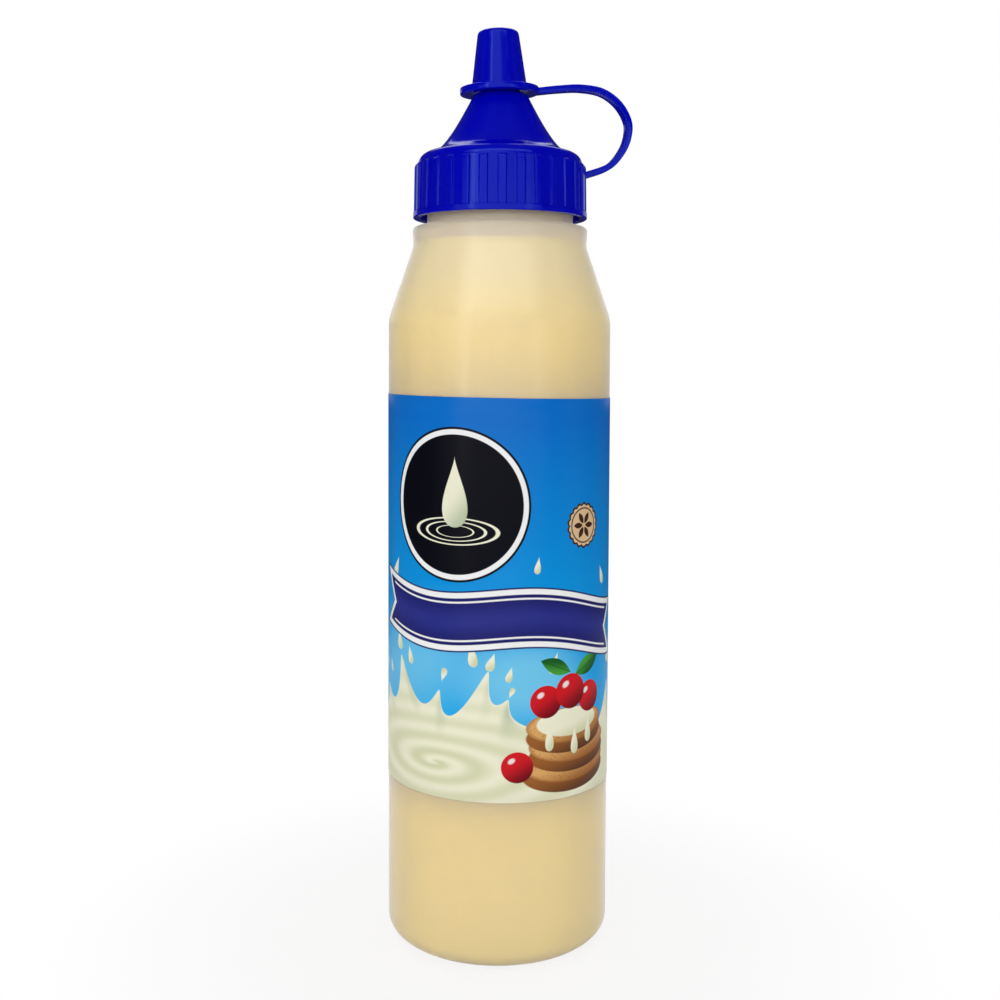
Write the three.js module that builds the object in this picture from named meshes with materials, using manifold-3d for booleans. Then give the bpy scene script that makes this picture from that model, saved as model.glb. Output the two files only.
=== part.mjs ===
// A squeeze bottle of condensed milk: translucent bottle, its milk, a wrap-round label,
// a ribbed screw cap with a cone and spout, and a tip cap held by a tether strap.
// Millimetres, +Z up. The origin is the centre of the base, on the surface that it stands on.
// The front of the label faces -Y and the strap swings out towards +X.
import * as THREE from 'three';
import { mergeVertices } from 'three/addons/utils/BufferGeometryUtils.js';
import Module from 'manifold-3d';

const wasm = await Module();
wasm.setup();

// Driving dimensions of the bottle
const bottleRadius = 25;
const wall = 1;
const baseCornerWidth = 5;
const baseCornerHeight = 4.2;
const standingRingInner = 16.8;
const centrePadRadius = 5;
const pushUp = 1.2;
const pushUpSlope = 3;
const shoulderFoot = 138.2;
const shoulderRound = 10;
const shoulderAngle = 18.5;
const shoulderTop = 154.6;
const shoulderTopRadius = 19.95;
const waistRadius = 19.5;
const waistHeight = 157.2;
const waistEase = 1.2;
const collarRadius = 19.65;
const collarFoot = 158.6;
const collarTop = 160.3;
const collarRound = 0.9;
const collarTurn = 84;
const neckRadius = 16.4;
const neckFoot = 160.55;
const neckTop = 173.9;
const mouthRadius = 15.2;

// Driving dimensions of the milk and the label
const milkLevel = 156.4;
const milkLevelRadius = 18.45;
const contentsGap = 0.12;
const labelBottom = 37;
const labelTop = 122.65;
const labelGap = 0.1;
const labelThickness = 0.15;
const labelSkew = 0.015;

// Driving dimensions of the screw cap
const skirtBottom = 162.25;
const skirtRadius = 19.57;
const skirtInnerRadius = 17.9;
const rimHeight = 1.25;
const landBottomRadius = 19.1;
const landTopRadius = 18.75;
const landTop = 174.15;
const deckRadius = 18.5;
const deckTop = 176.7;
const deckRound = 2.6;
const deckFall = 3.5;
const innerDeck = 174.2;
const coneFootRadius = 15.1;
const coneFootHeight = 177.05;
const coneTopRadius = 6.05;
const coneTopHeight = 189.55;
const coneFootReach = 3;
const coneFootRise = 0.6;
const coneTopReach = 1.25;
const coneTopDrop = 2;
const coneWall = 1.4;
const ribCount = 30;
const ribWidth = 1.75;
const ribTop = 174.1;
const ribFootRadius = 19.45;
const ribTopRadius = 19.25;
const ribTopRound = 1;
const ribBevel = 0.28;
const ribTurn = 1.3;

// Driving dimensions of the spout, the tip cap and its strap
const spoutBottomRadius = 4.5;
const spoutTopRadius = 3.0;
const spoutTop = 197.5;
const spoutBore = 1.5;
const flangeBottom = 190.05;
const flangeTop = 191.55;
const flangeRadius = 8.87;
const tipBottomRadius = 6.17;
const tipTopRadius = 4.67;
const tipTop = 204.05;
const tipRound = 1.25;
const tipTaper = 8;
const tipLean = 1.5;
const tipNod = 2;
const tipShift = 0.25;
const boreGap = 0.8;
const boreHeadroom = 1;
const strapThickness = 1.45;
const strapWidth = 2.4;
const strapEdge = 0.4;
const strapTurn = 8;
const strapEnd = 19.7;
const edge = 0.15;

// How finely round forms are divided
const bottleSides = 48;
const capSides = 60;
const tipSides = 28;
const strapSteps = 34;

const degrees = Math.PI / 180;
const p = (radius, height) => new THREE.Vector2(radius, height);

// Points of an elliptical arc in the radius and height plane, from one angle to another.
function arc(centreRadius, centreHeight, spreadRadius, spreadHeight, from, to, steps) {
  const points = [];
  for (let i = 0; i <= steps; i += 1) {
    const angle = (from + ((to - from) * i) / steps) * degrees;
    const radius = centreRadius + spreadRadius * Math.cos(angle);
    points.push(p(radius, centreHeight + spreadHeight * Math.sin(angle)));
  }
  return points;
}

// A closed mesh keeps only its positions, shares its vertices and has no empty faces.
function weld(geometry) {
  geometry.deleteAttribute('normal');
  geometry.deleteAttribute('uv');
  const merged = mergeVertices(geometry, 1e-4);
  const index = merged.getIndex();
  const kept = [];
  for (let i = 0; i < index.count; i += 3) {
    const face = [index.getX(i), index.getX(i + 1), index.getX(i + 2)];
    if (new Set(face).size === 3) kept.push(...face);
  }
  merged.setIndex(kept);
  merged.computeVertexNormals();
  return merged;
}

// A profile is turned round the upright axis. It runs anticlockwise: up outside, down inside.
function turned(profile, sides) {
  const closed = profile[0].x > 0 ? [...profile, profile[0]] : profile;
  const geometry = new THREE.LatheGeometry(closed, sides);
  geometry.rotateX(Math.PI / 2);
  return weld(geometry);
}

function toSolid(geometry) {
  const vertProperties = new Float32Array(geometry.getAttribute('position').array);
  const triVerts = new Uint32Array(geometry.getIndex().array);
  return new wasm.Manifold(new wasm.Mesh({ numProp: 3, vertProperties, triVerts }));
}

function toGeometry(solid) {
  const mesh = solid.getMesh();
  const geometry = new THREE.BufferGeometry();
  geometry.setAttribute('position', new THREE.BufferAttribute(mesh.vertProperties, 3));
  geometry.setIndex(new THREE.BufferAttribute(mesh.triVerts, 1));
  geometry.computeVertexNormals();
  return geometry;
}

// Half outline of the bottle's hollow, this far in from its outside: the base, side and shoulder.
function hollowProfile(depth) {
  const cornerRadius = bottleRadius - baseCornerWidth;
  const cornerWidth = baseCornerWidth - depth;
  const cornerHeight = baseCornerHeight - depth / 4;
  const shoulderCentre = bottleRadius - shoulderRound;
  const roundDepth = shoulderRound - depth;
  return [
    p(0, pushUp + depth),
    p(standingRingInner - pushUpSlope, pushUp + depth),
    p(standingRingInner, depth),
    ...arc(cornerRadius, depth + cornerHeight, cornerWidth, cornerHeight, -90, 0, 4),
    ...arc(shoulderCentre, shoulderFoot, roundDepth, roundDepth, 0, shoulderAngle, 2),
    p(shoulderTopRadius - depth, shoulderTop),
  ];
}

// Bottle: a shell with a standing ring, straight sides, a sloped shoulder, a collar and a neck.
function bottleGeometry() {
  const cornerRadius = bottleRadius - baseCornerWidth;
  const shoulderCentre = bottleRadius - shoulderRound;
  const collarCentre = collarRadius - collarRound;
  const outside = [
    p(0, 0),
    p(centrePadRadius, 0),
    p(centrePadRadius + pushUp, pushUp),
    p(standingRingInner - pushUpSlope, pushUp),
    p(standingRingInner, 0),
    ...arc(cornerRadius, baseCornerHeight, baseCornerWidth, baseCornerHeight, -90, 0, 5),
    ...arc(shoulderCentre, shoulderFoot, shoulderRound, shoulderRound, 0, shoulderAngle, 3),
    p(shoulderTopRadius, shoulderTop),
    p(waistRadius + waistEase / 12, waistHeight - waistEase),
    p(waistRadius, waistHeight),
    p(collarRadius, collarFoot),
    ...arc(collarCentre, collarTop - collarRound, collarRound, collarRound, 0, collarTurn, 3),
    p(neckRadius, neckFoot),
    p(neckRadius, neckTop),
  ];
  const mouth = [
    p(mouthRadius, neckTop),
    p(mouthRadius, collarTop),
    p(collarRadius - wall - collarRound / 2, collarTop - wall - collarRound / 2),
  ];
  return turned([...outside, ...mouth, ...hollowProfile(wall).reverse()], bottleSides);
}

// Milk: what fills the bottle up to its level in the collar.
function milkGeometry() {
  const surface = [p(milkLevelRadius, milkLevel), p(0, milkLevel)];
  return turned([...hollowProfile(wall + contentsGap), ...surface], bottleSides);
}

// Label: a thin sleeve round the straight sides, stuck on very slightly out of level.
function labelGeometry() {
  const inner = bottleRadius + labelGap;
  const outer = inner + labelThickness;
  const sleeve = turned([
    p(inner, labelBottom),
    p(outer, labelBottom),
    p(outer, labelTop),
    p(inner, labelTop),
  ], bottleSides);
  const skew = new THREE.Matrix4().set(1, 0, 0, 0, 0, 1, 0, 0, -labelSkew, 0, 1, 0, 0, 0, 0, 1);
  return sleeve.applyMatrix4(skew);
}

// One grip rib: its side view in radius and height, given a width with bevelled flanks.
function ribGeometry(angle) {
  const rootRadius = landTopRadius - ribTopRound / 2;
  const foot = skirtBottom + rimHeight - ribBevel;
  const side = new THREE.Shape([
    p(rootRadius, foot),
    p(ribFootRadius, foot),
    p(ribTopRadius, ribTop - ribTopRound),
    p(ribTopRadius - ribTopRound / 4, ribTop - ribTopRound / 4),
    p(rootRadius, ribTop),
  ]);
  const geometry = new THREE.ExtrudeGeometry(side, {
    depth: ribWidth - 2 * ribBevel,
    bevelEnabled: true,
    bevelThickness: ribBevel,
    bevelSize: ribBevel,
    bevelOffset: -ribBevel,
    bevelSegments: 1,
  });
  geometry.rotateX(Math.PI / 2);
  geometry.translate(0, ribWidth / 2 - ribBevel, 0);
  geometry.rotateZ(angle);
  return weld(geometry);
}

// Screw cap: a skirt with a plain rim and ribs, a rounded deck, a cone and a bored spout.
function screwCapGeometry() {
  const deck = arc(deckRadius - deckRound, deckTop - deckRound, deckRound, deckRound, 0, 90 - deckFall, 5);
  const cone = new THREE.CubicBezierCurve(
    p(coneFootRadius, coneFootHeight),
    p(coneFootRadius - coneFootReach, coneFootHeight + coneFootRise),
    p(coneTopRadius + coneTopReach, coneTopHeight - coneTopDrop),
    p(coneTopRadius, coneTopHeight),
  );
  const body = turned([
    p(skirtInnerRadius, skirtBottom + edge),
    p(skirtInnerRadius + edge, skirtBottom),
    p(skirtRadius - edge, skirtBottom),
    p(skirtRadius, skirtBottom + edge),
    p(skirtRadius, skirtBottom + rimHeight),
    p(landBottomRadius, skirtBottom + rimHeight + edge),
    p(landTopRadius, landTop),
    p(deckRadius, landTop + edge),
    ...deck,
    ...cone.getPoints(6),
    p(spoutBottomRadius, coneTopHeight),
    p(spoutTopRadius, spoutTop),
    p(spoutBore, spoutTop),
    p(spoutBore, coneTopHeight),
    p(coneTopRadius - coneWall, coneTopHeight - coneWall),
    p(coneFootRadius - 3 * coneWall, coneFootHeight + 2 * coneWall),
    p(coneFootRadius - coneWall, innerDeck),
    p(skirtInnerRadius, innerDeck),
  ], capSides);
  let solid = toSolid(body);
  for (let i = 0; i < ribCount; i += 1) {
    const angle = (ribTurn - 90 + (360 * i) / ribCount) * degrees;
    solid = solid.add(toSolid(ribGeometry(angle)));
  }
  return toGeometry(solid);
}

// Strap: a flat band that leaves the flange, swings out in a loop and comes back to the skirt.
function strapGeometry() {
  const route = new THREE.CatmullRomCurve3([
    new THREE.Vector3(8, 0, 191),
    new THREE.Vector3(13, 0, 191.65),
    new THREE.Vector3(18, 0, 192),
    new THREE.Vector3(23, 0, 191.3),
    new THREE.Vector3(27, 0, 188.8),
    new THREE.Vector3(29.4, 0, 185.2),
    new THREE.Vector3(29.6, 0, 181.9),
    new THREE.Vector3(28.2, 0, 178.2),
    new THREE.Vector3(24.9, 0, 174.6),
    new THREE.Vector3(strapEnd, 0, 172.5),
  ]);
  const x = strapWidth / 2;
  const y = strapThickness / 2;
  const section = new THREE.Shape([
    p(-x + strapEdge, -y),
    p(x - strapEdge, -y),
    p(x, -y + strapEdge),
    p(x, y - strapEdge),
    p(x - strapEdge, y),
    p(-x + strapEdge, y),
    p(-x, y - strapEdge),
    p(-x, -y + strapEdge),
  ]);
  const geometry = new THREE.ExtrudeGeometry(section, { steps: strapSteps, extrudePath: route });
  geometry.rotateZ(strapTurn * degrees);
  return weld(geometry);
}

// Tip cap: a tapered stopper with a flange, hollow over the spout, with the strap moulded on.
function tipCapGeometry() {
  const boreBottomRadius = spoutBottomRadius + boreGap;
  const boreTopRadius = spoutTopRadius + boreGap;
  const boreTop = spoutTop + boreHeadroom;
  const stopper = turned([
    p(boreBottomRadius, flangeBottom),
    p(flangeRadius - edge, flangeBottom),
    p(flangeRadius, flangeBottom + edge),
    p(flangeRadius, flangeTop - edge),
    p(flangeRadius - edge, flangeTop),
    p(tipBottomRadius + edge, flangeTop),
    p(tipBottomRadius, flangeTop + edge),
    ...arc(tipTopRadius - tipRound, tipTop - tipRound, tipRound, tipRound, tipTaper, 90, 4),
    p(0, tipTop),
    p(0, boreTop),
    p(boreTopRadius, boreTop),
  ], tipSides);
  stopper.translate(0, 0, -flangeBottom);
  stopper.rotateY(-tipLean * degrees);
  stopper.rotateX(tipNod * degrees);
  stopper.translate(-tipShift, 0, flangeBottom);
  return toGeometry(toSolid(stopper).add(toSolid(strapGeometry())));
}

function piece(name, geometry, color, roughness, extra = {}) {
  const material = new THREE.MeshStandardMaterial({ color, roughness, metalness: 0, ...extra });
  const mesh = new THREE.Mesh(geometry, material);
  mesh.name = name;
  return mesh;
}

const group = new THREE.Group();
group.add(
  piece('bottle', bottleGeometry(), '#e6dfcc', 0.35, { transparent: true, opacity: 0.7 }),
  piece('milk', milkGeometry(), '#e3d29a', 0.4),
  piece('label', labelGeometry(), '#1474cc', 0.3),
  piece('screw_cap', screwCapGeometry(), '#0a10b8', 0.35),
  piece('tip_cap', tipCapGeometry(), '#0a10b8', 0.35),
);

export default group;
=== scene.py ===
import math

import bmesh
import bpy
from mathutils import Matrix, Vector


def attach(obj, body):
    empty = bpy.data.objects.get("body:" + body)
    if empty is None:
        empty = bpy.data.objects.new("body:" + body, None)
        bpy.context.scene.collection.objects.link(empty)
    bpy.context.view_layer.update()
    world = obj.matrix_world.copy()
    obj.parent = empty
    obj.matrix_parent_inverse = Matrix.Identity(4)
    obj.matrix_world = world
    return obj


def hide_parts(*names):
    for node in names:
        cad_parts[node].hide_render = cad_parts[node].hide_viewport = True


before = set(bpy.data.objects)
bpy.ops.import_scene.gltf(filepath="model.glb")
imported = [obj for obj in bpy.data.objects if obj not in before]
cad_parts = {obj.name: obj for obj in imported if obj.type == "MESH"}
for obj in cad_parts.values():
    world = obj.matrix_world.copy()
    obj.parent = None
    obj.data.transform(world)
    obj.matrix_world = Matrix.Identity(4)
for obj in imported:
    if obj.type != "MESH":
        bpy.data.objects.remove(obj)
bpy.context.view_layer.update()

mm = 0.001
print("frame loaded:", len(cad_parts), "nodes")


# how the photo was taken
shot = {
    "sideways": 0.00021,
    "distance": 0.290,
    "height": 0.1293,
    "pitch": math.radians(3.1),
    "roll": math.radians(0.26),
    "lens": 45.92,
    "shift": -0.065,
}


def addCamera():
    data = bpy.data.cameras.new("photoCamera")
    data.lens = shot["lens"]
    data.sensor_width = 36
    data.shift_y = shot["shift"]
    data.clip_start = 0.01
    camera = bpy.data.objects.new("photoCamera", data)
    turn = Matrix.Rotation(math.pi / 2 - shot["pitch"], 4, "X") @ Matrix.Rotation(shot["roll"], 4, "Z")
    camera.matrix_world = Matrix.Translation((shot["sideways"], -shot["distance"], shot["height"])) @ turn
    bpy.context.scene.collection.objects.link(camera)
    bpy.context.scene.camera = camera


addCamera()
print("camera set")


# mesh helpers: a profile is a list of (radius, height) pairs in millimetres
def arcPoints(centre, spread, start, end, steps):
    points = []
    for i in range(steps + 1):
        angle = math.radians(start + (end - start) * i / steps)
        points.append((centre[0] + spread[0] * math.cos(angle), centre[1] + spread[1] * math.sin(angle)))
    return points


def curvePoints(start, handleA, handleB, end, steps):
    points = []
    for i in range(steps + 1):
        t = i / steps
        a, b, c, d = (1 - t) ** 3, 3 * (1 - t) ** 2 * t, 3 * (1 - t) * t * t, t ** 3
        points.append(tuple(a * start[k] + b * handleA[k] + c * handleB[k] + d * end[k] for k in (0, 1)))
    return points


def linePoints(start, end, steps):
    return [tuple(start[k] + (end[k] - start[k]) * i / steps for k in (0, 1)) for i in range(steps + 1)]


def spinProfile(profile, steps):
    # a profile that starts and ends on the axis is left open, any other closes on itself
    bm = bmesh.new()
    verts = [bm.verts.new((r * mm, 0, z * mm)) for r, z in profile]
    edges = [bm.edges.new(pair) for pair in zip(verts[:-1], verts[1:])]
    if profile[0][0] > 0:
        edges.append(bm.edges.new((verts[-1], verts[0])))
    bmesh.ops.spin(
        bm, geom=verts + edges, cent=(0, 0, 0), axis=(0, 0, 1), angle=2 * math.pi,
        steps=steps, use_merge=True,
    )
    bmesh.ops.remove_doubles(bm, verts=bm.verts, dist=2e-6)
    bmesh.ops.recalc_face_normals(bm, faces=bm.faces)
    return bm


def makePiece(bm, name, material, node, sharpAngle=32):
    for face in bm.faces:
        face.smooth = True
    limit = math.radians(sharpAngle)
    for edge in bm.edges:
        edge.smooth = not (len(edge.link_faces) == 2 and edge.calc_face_angle(0) > limit)
    mesh = bpy.data.meshes.new(name)
    bm.to_mesh(mesh)
    bm.free()
    mesh.materials.append(material)
    piece = bpy.data.objects.new(name, mesh)
    bpy.context.scene.collection.objects.link(piece)
    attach(piece, "root")
    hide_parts(node)
    return piece


# node helpers
def calc(tree, operation, *values, clamp=False):
    node = tree.nodes.new("ShaderNodeMath")
    node.operation = operation
    node.use_clamp = clamp
    for socket, value in zip(node.inputs, values):
        plug(tree, socket, value)
    return node.outputs[0]


def plug(tree, socket, value):
    if isinstance(value, bpy.types.NodeSocket):
        tree.links.new(value, socket)
    else:
        socket.default_value = value


def blendColor(tree, factor, under, over):
    node = tree.nodes.new("ShaderNodeMix")
    node.data_type = "RGBA"
    plug(tree, node.inputs["Factor"], factor)
    plug(tree, node.inputs[6], under)
    plug(tree, node.inputs[7], over)
    return node.outputs[2]


def mapValue(tree, value, low, high, toLow, toHigh, smooth=False):
    node = tree.nodes.new("ShaderNodeMapRange")
    node.interpolation_type = "SMOOTHSTEP" if smooth else "LINEAR"
    sockets = ("Value", "From Min", "From Max", "To Min", "To Max")
    for name, item in zip(sockets, (value, low, high, toLow, toHigh)):
        plug(tree, node.inputs[name], item)
    return node.outputs[0]


def noiseOn(tree, vector, scale, detail=2.0, rough=0.5):
    node = tree.nodes.new("ShaderNodeTexNoise")
    tree.links.new(vector, node.inputs["Vector"])
    plug(tree, node.inputs["Scale"], scale)
    node.inputs["Detail"].default_value = detail
    node.inputs["Roughness"].default_value = rough
    return node.outputs["Fac"]


def objectCoords(tree):
    return tree.nodes.new("ShaderNodeTexCoord").outputs["Object"]


def splitVector(tree, vector):
    node = tree.nodes.new("ShaderNodeSeparateXYZ")
    tree.links.new(vector, node.inputs[0])
    return node.outputs


def rgb(red, green, blue):
    # a colour as read off a screen, made linear
    linear = [((c / 255 + 0.055) / 1.055) ** 2.4 if c > 10 else c / 255 / 12.92 for c in (red, green, blue)]
    return (*linear, 1.0)


def newMaterial(name):
    material = bpy.data.materials.new(name)
    material.use_nodes = True
    tree = material.node_tree
    tree.nodes.clear()
    out = tree.nodes.new("ShaderNodeOutputMaterial")
    shader = tree.nodes.new("ShaderNodeBsdfPrincipled")
    tree.links.new(shader.outputs["BSDF"], out.inputs["Surface"])
    return material, tree, shader


def newGroup(name, inputs, outputs):
    group = bpy.data.node_groups.new(name, "ShaderNodeTree")
    for title, kind, value in inputs:
        socket = group.interface.new_socket(name=title, in_out="INPUT", socket_type=kind)
        if value is not None:
            socket.default_value = value
    for title, kind in outputs:
        group.interface.new_socket(name=title, in_out="OUTPUT", socket_type=kind)
    return group, group.nodes.new("NodeGroupInput").outputs, group.nodes.new("NodeGroupOutput").inputs


def useGroup(tree, group, **values):
    node = tree.nodes.new("ShaderNodeGroup")
    node.node_tree = group
    for title, value in values.items():
        plug(tree, node.inputs[title], value)
    return node.outputs


# moulded plastic is never quite even: a soft waviness, a fine grain and a drifting gloss
def buildMouldedGroup():
    inputs = [
        ("Vector", "NodeSocketVector", None), ("WaveScale", "NodeSocketFloat", 60.0),
        ("GrainScale", "NodeSocketFloat", 2500.0), ("GrainShare", "NodeSocketFloat", 0.3),
        ("Gloss", "NodeSocketFloat", 0.35), ("GlossDrift", "NodeSocketFloat", 0.06),
    ]
    group, given, out = newGroup(
        "mouldedPlastic", inputs,
        [("Height", "NodeSocketFloat"), ("Roughness", "NodeSocketFloat"), ("Cloud", "NodeSocketFloat")],
    )
    wave = noiseOn(group, given["Vector"], given["WaveScale"])
    grain = noiseOn(group, given["Vector"], given["GrainScale"], detail=1.0)
    plug(group, out["Height"], calc(group, "ADD", wave, calc(group, "MULTIPLY", grain, given["GrainShare"])))
    drift = calc(group, "MULTIPLY", calc(group, "SUBTRACT", wave, 0.5), given["GlossDrift"])
    plug(group, out["Roughness"], calc(group, "ADD", given["Gloss"], drift))
    plug(group, out["Cloud"], wave)
    return group


mouldedGroup = buildMouldedGroup()


def addBump(tree, shader, height, distance, strength):
    bump = tree.nodes.new("ShaderNodeBump")
    bump.inputs["Distance"].default_value = distance
    bump.inputs["Strength"].default_value = strength
    tree.links.new(height, bump.inputs["Height"])
    tree.links.new(bump.outputs["Normal"], shader.inputs["Normal"])


# bottle: translucent natural polyethylene
bottle = {
    "radius": 25.0,
    "wall": 1.0,
    "steps": 144,
    "padRadius": 5.0,
    "pushUp": 1.2,
    "ringInner": 16.8,
    "ringSlope": 3,
    "footRound": (0.4, 0.1),
    "cornerWidth": 5.0,
    "cornerHeight": 4.2,
    "shoulderFoot": 138.2,
    "shoulderRound": 10.0,
    "shoulderAngle": 18.5,
    "shoulderTop": (19.95, 154.6),
    "waist": (19.5, 157.0),
    "waistHandles": [(19.56, 155.7), (19.46, 156.4)],
    "collarRadius": 19.65,
    "collarTop": 160.3,
    "collarRound": 0.9,
    "collarHandles": [(19.52, 157.6), (19.64, 158.0)],
    "neckRadius": 16.4,
    "neckTop": 173.9,
    # how far out from the neck, and how far above the collar, its foot runs
    "neckFoot": [(0.5, 0.2), (0.1, 0.35), (0, 0.8)],
    "lipEdge": 0.3,
    "mouthRadius": 15.2,
    "throatTop": 160.7,
    "throatHandles": [(15.2, 159.2), (17.9, 159.6)],
    "throatFoot": (18.35, 158.6),
    "tint": rgb(248, 237, 216),
    "clearness": 0.6,
    "lightThrough": 0.85,
    "gloss": 0.24,
    "shine": 0.4,
    "bloom": 0.8,
    "bloomSpread": 0.35,
}


def hollowProfile(depth, fine):
    # base, side and shoulder of the bottle this far in from its outside
    b = bottle
    cornerHeight = b["cornerHeight"] - depth / 4
    roundDepth = b["shoulderRound"] - depth
    top = (b["shoulderTop"][0] - depth, b["shoulderTop"][1])
    hollowEdge = b["ringInner"] - b["ringSlope"]
    base = [(0, b["pushUp"] + depth), (hollowEdge, b["pushUp"] + depth)]
    if depth == 0:
        across, rise = b["footRound"]
        base = [
            (0, 0), (b["padRadius"], 0), (b["padRadius"] + across, rise),
            (b["padRadius"] + b["pushUp"], b["pushUp"]), (hollowEdge, b["pushUp"]),
            (b["ringInner"] - across, rise),
        ]
    corner = arcPoints(
        (b["radius"] - b["cornerWidth"], depth + cornerHeight),
        (b["cornerWidth"] - depth, cornerHeight), -90, 0, fine,
    )
    side = linePoints(corner[-1], (b["radius"] - depth, b["shoulderFoot"]), 12)[1:-1]
    shoulder = arcPoints(
        (b["radius"] - b["shoulderRound"], b["shoulderFoot"]), (roundDepth, roundDepth),
        0, b["shoulderAngle"], fine,
    )
    return base + [(b["ringInner"], depth)] + corner + side + shoulder + linePoints(shoulder[-1], top, 4)[1:]


def bottleProfile():
    b = bottle
    lip = b["lipEdge"]
    collarSide = (b["collarRadius"], b["collarTop"] - b["collarRound"])
    dip = curvePoints(b["shoulderTop"], *b["waistHandles"], b["waist"], 5)
    dip += curvePoints(b["waist"], *b["collarHandles"], collarSide, 5)[1:]
    collar = arcPoints(
        (b["collarRadius"] - b["collarRound"], collarSide[1]), (b["collarRound"], b["collarRound"]), 0, 84, 7,
    )[1:]
    neck = [(b["neckRadius"] + out, b["collarTop"] + up) for out, up in b["neckFoot"]]
    neck += [
        (b["neckRadius"], b["neckTop"] - lip), (b["neckRadius"] - lip, b["neckTop"]),
        (b["mouthRadius"] + lip, b["neckTop"]), (b["mouthRadius"], b["neckTop"] - lip),
        (b["mouthRadius"], b["throatTop"]),
    ]
    throat = curvePoints(neck[-1], *b["throatHandles"], b["throatFoot"], 6)[1:]
    return hollowProfile(0, 8) + dip[1:] + collar + neck + throat + hollowProfile(b["wall"], 7)[::-1]


def bottlePlastic():
    material, tree, shader = newMaterial("translucentPlastic")
    coords = objectCoords(tree)
    moulded = useGroup(
        tree, mouldedGroup, Vector=coords, WaveScale=45.0, GrainScale=1800.0, GrainShare=0.12,
        Gloss=bottle["gloss"], GlossDrift=0.05,
    )
    shader.inputs["Base Color"].default_value = bottle["tint"]
    shader.inputs["Transmission Weight"].default_value = bottle["clearness"]
    shader.inputs["IOR"].default_value = 1.5
    shader.inputs["Specular IOR Level"].default_value = bottle["shine"]
    shader.inputs["Sheen Weight"].default_value = bottle["bloom"]
    shader.inputs["Sheen Roughness"].default_value = bottle["bloomSpread"]
    tree.links.new(moulded["Roughness"], shader.inputs["Roughness"])
    shadow = tree.nodes.new("ShaderNodeLightPath").outputs["Is Shadow Ray"]
    plug(tree, shader.inputs["Alpha"], mapValue(tree, shadow, 0.0, 1.0, 1.0, 1 - bottle["lightThrough"]))
    addBump(tree, shader, moulded["Height"], distance=0.0004, strength=0.25)
    return material


makePiece(
    spinProfile(bottleProfile(), bottle["steps"]), "bottleShell", bottlePlastic(), "bottle",
)
print("bottle made")


# the label's values, given here because the milk's shading needs some of them as well
label = {
    "bottom": 37.0,
    "top": 122.65,
    "skew": 0.015,
    "lift": 0.03,
    "thickness": 0.09,
    "edge": 0.02,
    "steps": 180,
    "rows": 24,
    "lap": math.radians(9),
    "lapLift": 0.1,
    "printRadius": 25.06,
    "gloss": 0.31,
    "shine": 0.12,
}


# milk: it reaches just into the wall, so that no air shows between them
milk = {
    "steps": 96,
    "intoWall": 0.06,
    "level": 156.4,
    "levelInset": 0.3,
    "meniscus": 0.35,
    "meniscusReach": (0.5, 1.2, 3),
    "cloudScale": 22.0,
    "cloudRange": (0.35, 0.65),
    "color": rgb(234, 214, 104),
    "pale": rgb(238, 220, 120),
    "top": rgb(230, 220, 172),
    # painted shade: the milk's colour where the label keeps light from it
    "dim": rgb(206, 184, 92),
    # where the shading changes, in metres
    "topFrom": 0.136,
    "topFull": 0.150,
    "dimAbove": 0.013,
    "dimBelow": 0.0075,
    "dimCurve": 1.5,
    "gloss": 0.45,
    "shine": 0.3,
}


def milkProfile():
    depth = bottle["wall"] - milk["intoWall"]
    level = milk["level"]
    levelRadius = bottle["shoulderTop"][0] - depth - milk["levelInset"]
    inward = [(levelRadius - reach, level) for reach in milk["meniscusReach"]]
    rim = curvePoints((levelRadius, level + milk["meniscus"]), *inward, 5)
    return hollowProfile(depth, 7) + rim + [(0, level)]


def milkCream():
    material, tree, shader = newMaterial("condensedMilk")
    coords = objectCoords(tree)
    height = splitVector(tree, coords)["Z"]
    cloud = noiseOn(tree, coords, milk["cloudScale"], detail=3.0, rough=0.6)
    low, high = milk["cloudRange"]
    patches = mapValue(tree, cloud, low, high, 0.0, 1.0, smooth=True)
    color = blendColor(tree, patches, milk["color"], milk["pale"])
    upper = mapValue(tree, height, milk["topFrom"], milk["topFull"], 0.0, 1.0)
    color = blendColor(tree, upper, color, milk["top"])
    # painted shade: the milk's colour darkens just above and below the label, where the label keeps light
    # from it
    above = mapValue(tree, height, label["top"] * mm, label["top"] * mm + milk["dimAbove"], 1.0, 0.0)
    below = mapValue(tree, height, label["bottom"] * mm - milk["dimBelow"], label["bottom"] * mm, 0.0, 1.0)
    dim = calc(tree, "POWER", calc(tree, "MINIMUM", above, below), milk["dimCurve"])
    tree.links.new(blendColor(tree, dim, color, milk["dim"]), shader.inputs["Base Color"])
    shader.inputs["Roughness"].default_value = milk["gloss"]
    shader.inputs["Specular IOR Level"].default_value = milk["shine"]
    return material


makePiece(spinProfile(milkProfile(), milk["steps"]), "milkBody", milkCream(), "milk")
print("milk made")


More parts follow.
